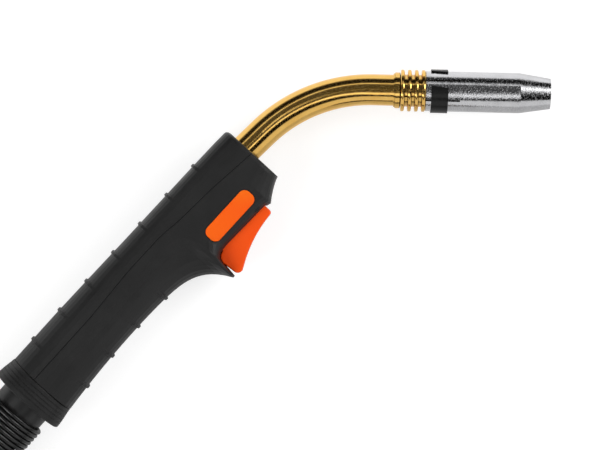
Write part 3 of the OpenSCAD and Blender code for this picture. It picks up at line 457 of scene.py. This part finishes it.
def printed_film(name, colours):
    """An orange print under a clear satin film."""
    material, tree, shader, place = start_material(name, {
        "Specular IOR Level": 0.2, "Coat Weight": 0.1, "Coat Roughness": 0.35})
    tree.links.new(patches(tree, place, 26, colours, (0.35, 0.65), 1.0),
                   shader.inputs["Base Color"])
    tree.links.new(patches(tree, place, 0.6, (0.36, 0.46)), shader.inputs["Roughness"])
    relief(tree, shader, place, 0.8, 0.004, 2.0)
    return material


label_film = printed_film("orange_label_film", ("#ff5a00", "#ff7002"))
print("label:", label_film.name)

# %% [markdown]
# ## Polished brass and bright chrome
#
# The neck and the finned sleeve are polished brass under clear lacquer, so they show the studio
# as long bands. The nozzle is a copper alloy under bright chrome plate, which keeps the soft
# orange peel of the polished blank. Turned and zinc-plated parts are duller. All are metals, so
# their colour is the colour of what they reflect. The pits of a real plated skin are about a
# tenth of a millimetre; they are drawn three times as coarse on the brass and six times on the
# chrome, so that they show.

# %% Mirror finishes
PIT_LEVELS = (0.46, 0.55, 0.66)


def pitted_metal(name, colours, gloss, pit_mm, peel_mm, peel_depth, painted_shade_mm=0.0):
    """A mirror finish between tiny frosted pits. gloss is the roughness of the mirror, of the
    pits' rims and of the pits.
    The last argument, in millimetres, paints shade into the metal's colour from ambient occlusion
    where it meets a step."""
    material, tree, shader, place = start_material(name, {"Metallic": 1.0})
    tint = patches(tree, place, 8, colours)
    # Painted shade: ambient occlusion darkens the colour in corners and at steps, where shadow
    # falls.
    if painted_shade_mm:
        open_sky = add(tree, "ShaderNodeAmbientOcclusion", {"Distance": painted_shade_mm * MM}, samples=6,
                       only_local=True).outputs["AO"]
        shade = add(tree, "ShaderNodeValToRGB", {0: open_sky}, stops=[(0.35, 0.1), (0.8, 1.0)])
        tint = add(tree, "ShaderNodeMix", {"Factor": 1.0, "A": tint, "B": shade.outputs[0]},
                   data_type="RGBA", blend_type="MULTIPLY").outputs["Result"]
    tree.links.new(tint, shader.inputs["Base Color"])
    tree.links.new(patches(tree, place, pit_mm, gloss, PIT_LEVELS, 2.0, 0.7),
                   shader.inputs["Roughness"])
    relief(tree, shader, place, peel_mm, peel_depth, 2.0, 0.6)
    return material


# The lacquered brass gets painted shade in its corners and at the steps of the sleeve.
lacquered_brass = pitted_metal("lacquered_brass", ("#e4b45e", "#ecc06b"), (0.1, 0.14, 0.3),
                               pit_mm=0.3, peel_mm=1.6, peel_depth=0.007, painted_shade_mm=1.2)
bright_chrome = pitted_metal("bright_chrome_plate", ("#c2c2c4", "#cfcfd1"), (0.05, 0.09, 0.45),
                             pit_mm=0.6, peel_mm=0.6, peel_depth=0.05)
print("neck:", lacquered_brass.name, "- nozzle:", bright_chrome.name)

# %% Turned and plated metals


def turned_metal(name, colours, gloss, peel_mm, peel_depth):
    """A turned or plated metal: slow tint, patches of roughness and a shallow peel."""
    material, tree, shader, place = start_material(name, {"Metallic": 1.0})
    tree.links.new(patches(tree, place, 9.0, colours), shader.inputs["Base Color"])
    tree.links.new(patches(tree, place, 9.0 / 4, gloss, (0.35, 0.7), 4.0),
                   shader.inputs["Roughness"])
    relief(tree, shader, place, peel_mm, peel_depth, 3.0, 0.6)
    return material


turned_brass = turned_metal("turned_brass", ("#c9a04a", "#d8b25c"), (0.2, 0.32),
                            peel_mm=0.5, peel_depth=0.01)
turned_copper = turned_metal("turned_copper", ("#b06a42", "#c47d52"), (0.22, 0.34),
                             peel_mm=0.5, peel_depth=0.01)
zinc_steel = turned_metal("zinc_plated_steel", ("#a6a8aa", "#bcbec0"), (0.25, 0.4),
                          peel_mm=0.6, peel_depth=0.012)
print("inside:", turned_brass.name, turned_copper.name, zinc_steel.name)

# %% [markdown]
# ## Lacquered steel and rubber
#
# The bend springs are spring steel under black lacquer: a dark paint under a glossy skin, so
# each curl draws one thin bright line. The nozzle's band clip is blued and shines less. The
# cable's jacket is extruded rubber, matt black, with the fine grain that the die leaves.

# %% Lacquer and rubber


def lacquered_steel(name, colours, skin):
    """A dark skin on spring steel; skin is how strongly its surface shines."""
    material, tree, shader, place = start_material(name, {
        "Specular IOR Level": skin, "Coat Weight": skin, "Coat Roughness": 0.12})
    tree.links.new(patches(tree, place, 3, colours), shader.inputs["Base Color"])
    tree.links.new(patches(tree, place, 1.2, (0.25, 0.4)), shader.inputs["Roughness"])
    relief(tree, shader, place, 0.4, 0.004, 2.0)
    return material


def jacket_rubber(name, colours):
    """Matt black rubber with a fine grain from the die."""
    material, tree, shader, place = start_material(name, {})
    tree.links.new(patches(tree, place, 20, colours), shader.inputs["Base Color"])
    tree.links.new(patches(tree, place, 6, (0.5, 0.66), detail=4.0), shader.inputs["Roughness"])
    relief(tree, shader, place, 0.9, 0.03, 4.0, 0.65)
    return material


black_lacquer = lacquered_steel("black_lacquered_steel", ("#0c0c0c", "#161616"), 0.3)
clip_lacquer = lacquered_steel("blued_band_clip", ("#131313", "#1a1a1a"), 0.15)
black_rubber = jacket_rubber("extruded_rubber", ("#121212", "#1c1c1c"))
seal_rubber = jacket_rubber("moulded_seal_rubber", ("#0e0e0e", "#161616"))
print("springs:", black_lacquer.name, "- jacket:", black_rubber.name)

# %% [markdown]
# ## Dressing the pieces
#
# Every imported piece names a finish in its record, and a few pieces have one of their own. A
# modifier splits each mesh wherever two faces meet at more than CRISP_ANGLE, so that edges look
# crisp while round faces stay smooth.

# %% Dressing
CRISP_ANGLE = math.radians(28)
FINISHES = {
    "nylon": black_nylon, "orange": orange_abs, "brass": turned_brass, "copper": turned_copper,
    "chrome": bright_chrome, "steel": zinc_steel, "spring": black_lacquer, "rubber": black_rubber,
    "fibre": glass_fibre, "clip": clip_lacquer, "black": black_abs, "wire": wire_pvc,
}
SPECIAL = {
    "label_plate": label_film, "neck_jacket": lacquered_brass, "finned_sleeve": lacquered_brass,
    "nozzle_insulator": dark_resin, "switch_plunger": red_pbt, "pin_seal": seal_rubber,
}
DRAWN = [(hose_cable, black_rubber), (torch_spring, black_lacquer), (plug_spring, black_lacquer),
         (inner_cable, black_rubber), (return_spring, zinc_steel),
         *[(wire, wire_pvc) for wire in switch_wires]]


def dress(obj, material):
    """Gives a piece that one material."""
    obj.data.materials.clear()
    obj.data.materials.append(material)


slots = {part["node"]: part["material_slot"] for part in frame["record"]["subparts"]}
for name, obj in frame["nodes"].items():
    dress(obj, SPECIAL.get(name, FINISHES[slots[name]]))
    obj.modifiers.new("crisp_edges", "EDGE_SPLIT").split_angle = CRISP_ANGLE
for obj, material in DRAWN:
    dress(obj, material)
print("dressed", len(frame["nodes"]), "packed pieces and", len(DRAWN), "drawn ones")

# %% [markdown]
# ## The studio
#
# White paper under the torch, a soft lamp on either side, and two narrow striplights overhead. A
# polished tube shows the whole room as stripes along its length: the dark parts of the room
# give brass and chrome their dark lines, the lit paper and its painted glow give them their bright
# edges, and the long striplight, which lies aslant, draws the highlight that wanders across the
# bend.

# %% Floor
# Level, across the neck and towards its back: a bearing from the part's own +X.
NECK_BACK = math.radians(114) + TURN
ACROSS_NECK = (math.cos(NECK_BACK), math.sin(NECK_BACK), 0)
# In metres: how far towards the neck's back the paper's painted glow in metal changes, and how far
# out the lift of lit paper grows to full white.
MIRROR_CHANGE = (0.04, 0.1)
LIFT_GROWTH = (0.7, 2.5)
FLOOR_CENTRE, FLOOR_SIZE = (-0.1, 0, 0), (12, 12)


def white_sweep(name, shade, lift, glossy_glow_near, glossy_glow_far):
    """White paper that keeps shadows. Seen directly it gets a lift, so that lit paper reads as
    pure white, and a fuller lift far off, where the lamps don't reach. Seen in metal it also
    glows, a painted reflection that is dimmer on the hand's side than behind the neck: painted
    shade there, painted light beyond."""
    material = bpy.data.materials.new(name)
    material.use_nodes = True
    tree = material.node_tree
    tree.nodes.clear()
    paper = add(tree, "ShaderNodeBsdfDiffuse", {"Color": (shade, shade, shade, 1)})
    place = add(tree, "ShaderNodeTexCoord").outputs["Object"]
    across = add(tree, "ShaderNodeVectorMath", {0: place, 1: ACROSS_NECK},
                 operation="DOT_PRODUCT")
    glossy_glow = add(tree, "ShaderNodeMapRange", {
        0: across.outputs["Value"], 1: MIRROR_CHANGE[0], 2: MIRROR_CHANGE[1],
        3: glossy_glow_near, 4: glossy_glow_far})
    rays = add(tree, "ShaderNodeLightPath")
    away = add(tree, "ShaderNodeVectorMath", {0: place}, operation="LENGTH").outputs["Value"]
    raised = add(tree, "ShaderNodeMapRange", {
        0: away, 1: LIFT_GROWTH[0], 2: LIFT_GROWTH[1], 3: lift, 4: 1.0})
    direct = add(tree, "ShaderNodeMath", {0: rays.outputs["Is Camera Ray"], 1: raised.outputs[0]},
                 operation="MULTIPLY")
    # Painted reflection: for glossy rays the paper glows, dimmer on the hand's side as if shaded
    # there.
    power = add(tree, "ShaderNodeMath", {0: rays.outputs["Is Glossy Ray"], 1: glossy_glow.outputs[0],
                                         2: direct.outputs[0]}, operation="MULTIPLY_ADD")
    glow = add(tree, "ShaderNodeEmission", {"Color": (1, 1, 1, 1), "Strength": power.outputs[0]})
    both = add(tree, "ShaderNodeAddShader", {0: paper.outputs[0], 1: glow.outputs[0]})
    add(tree, "ShaderNodeOutputMaterial", {"Surface": both.outputs[0]})
    return material


def flat_panel(name, centre, size, material):
    """A level rectangle in the studio, in metres."""
    data = bpy.data.meshes.new(name)
    w, h = size[0] / 2, size[1] / 2
    data.from_pydata([(-w, -h, 0), (w, -h, 0), (w, h, 0), (-w, h, 0)], [], [(0, 1, 2, 3)])
    data.materials.append(material)
    obj = placed(name, data)
    obj.location = centre
    return obj


white_paper = white_sweep("white_paper", shade=0.45, lift=0.72, glossy_glow_near=0.2, glossy_glow_far=0.75)
floor = flat_panel("floor", FLOOR_CENTRE, FLOOR_SIZE, white_paper)
print(floor.name, "of", white_paper.name, "- bearing of the neck's back:",
      round(math.degrees(NECK_BACK), 1), "degrees")

# %% [markdown]
# ## The room
#
# Nothing of the room is ever seen directly, only its image in the metal, so it is a world of
# bands and needs no walls. The bands run level along the neck, each at its own height. Metal
# needs both light and dark bands; the plain white that shows behind the torch is kept apart.

# %% The room above
# What hangs over the table, as (degrees from straight up, brightness). Negative degrees lean
# to the hand's side of the torch, positive ones to the back of the neck.
ROOM = [(-180, 0.9), (-90, 0.9), (-60, 0.85), (-54, 0.9), (-50, 0.0), (-31, 0.0), (-26, 0.06),
        (3, 0.075), (24, 0.085), (36, 0.1), (41, 0.13), (43, 1.4), (46, 1.4), (48, 0.2), (54, 0.1),
        (57, 0.01), (80, 0.02), (86, 0.3), (90, 0.7), (180, 0.9)]
# The ramp holds brightness over this, so that its numbers stay under 1, and the background's
# strength makes up for it.
ROOM_POWER = 2.0


def room_world(name, bands):
    """A studio as bands round the torch, each at its own height over either side of it."""
    world = bpy.data.worlds.new(name)
    world.use_nodes = True
    tree = world.node_tree
    tree.nodes.clear()
    towards = add(tree, "ShaderNodeTexCoord").outputs["Generated"]
    height = add(tree, "ShaderNodeSeparateXYZ", {0: towards}).outputs[2]
    angle = add(tree, "ShaderNodeMath", {0: height}, operation="ARCCOSINE").outputs[0]
    across = add(tree, "ShaderNodeVectorMath", {0: towards, 1: ACROSS_NECK},
                 operation="DOT_PRODUCT")
    side = add(tree, "ShaderNodeMath", {0: across.outputs["Value"]}, operation="SIGN").outputs[0]
    signed = add(tree, "ShaderNodeMath", {0: angle, 1: side}, operation="MULTIPLY").outputs[0]
    share = add(tree, "ShaderNodeMapRange", {0: signed, 1: -math.pi, 2: math.pi}).outputs[0]
    room = add(tree, "ShaderNodeValToRGB", {0: share}, stops=[
        ((degrees + 180) / 360, level / ROOM_POWER) for degrees, level in bands]).outputs[0]
    rays = add(tree, "ShaderNodeLightPath")
    lit = add(tree, "ShaderNodeBackground", {"Color": room, "Strength": ROOM_POWER})
    white = add(tree, "ShaderNodeBackground", {"Color": (1, 1, 1, 1), "Strength": 1.0})
    both = add(tree, "ShaderNodeMixShader", {0: rays.outputs["Is Camera Ray"],
                                             1: lit.outputs[0], 2: white.outputs[0]})
    add(tree, "ShaderNodeOutputWorld", {"Surface": both.outputs[0]})
    return world


bpy.context.scene.world = room_world("studio_room", ROOM)
bpy.context.scene.view_settings.view_transform = "Standard"
print("room of", len(ROOM), "stops")

# %% [markdown]
# ## The lamps
#
# Two softboxes light the plastics and draw the soft shadows on the paper. The striplights hang
# level and shine straight down, so they are seen only as lines in the metal. The long one draws
# a line all along the neck, the sleeve and the nozzle; the short one adds a second line on the
# bend, next to the handle.

# %% Lamps
STRIP_HEIGHT = 1.52
SOFTBOX, SOFTBOX_AWAY = (1.0, 1.0), 1.6
AIM = Vector((0, 0, 0.02))


def area_lamp(name, size, power):
    """An oblong area lamp, in metres and watts."""
    data = bpy.data.lights.new(name, "AREA")
    data.shape = "RECTANGLE"
    data.size, data.size_y = size
    data.energy = power
    return placed(name, data)


def softbox(name, azimuth, elevation, power):
    """A square soft lamp that looks at AIM from that direction, in degrees."""
    lamp = area_lamp(name, SOFTBOX, power)
    a, e = math.radians(azimuth), math.radians(elevation)
    away = Vector((math.cos(e) * math.cos(a), math.cos(e) * math.sin(a), math.sin(e)))
    lamp.location = AIM + away * SOFTBOX_AWAY
    lamp.rotation_euler = (-away).to_track_quat("-Z", "Y").to_euler()
    return lamp


def strip_lamp(name, x, y, bearing, size, power):
    """A level striplight that shines straight down; its long side points along the bearing."""
    lamp = area_lamp(name, size, power)
    lamp.location = (x, y, STRIP_HEIGHT)
    lamp.rotation_euler = (0, 0, math.radians(bearing))
    return lamp


lamps = [strip_lamp("striplight", x=0.09, y=-0.41, bearing=18, size=(2.4, 0.22), power=2.6),
         strip_lamp("neck_light", x=0.09, y=0.158, bearing=75, size=(0.3, 0.09), power=0.1),
         softbox("left_softbox", azimuth=150, elevation=42, power=12.5),
         softbox("right_softbox", azimuth=-25, elevation=36, power=13.5)]
print("lamps:", [lamp.name for lamp in lamps])
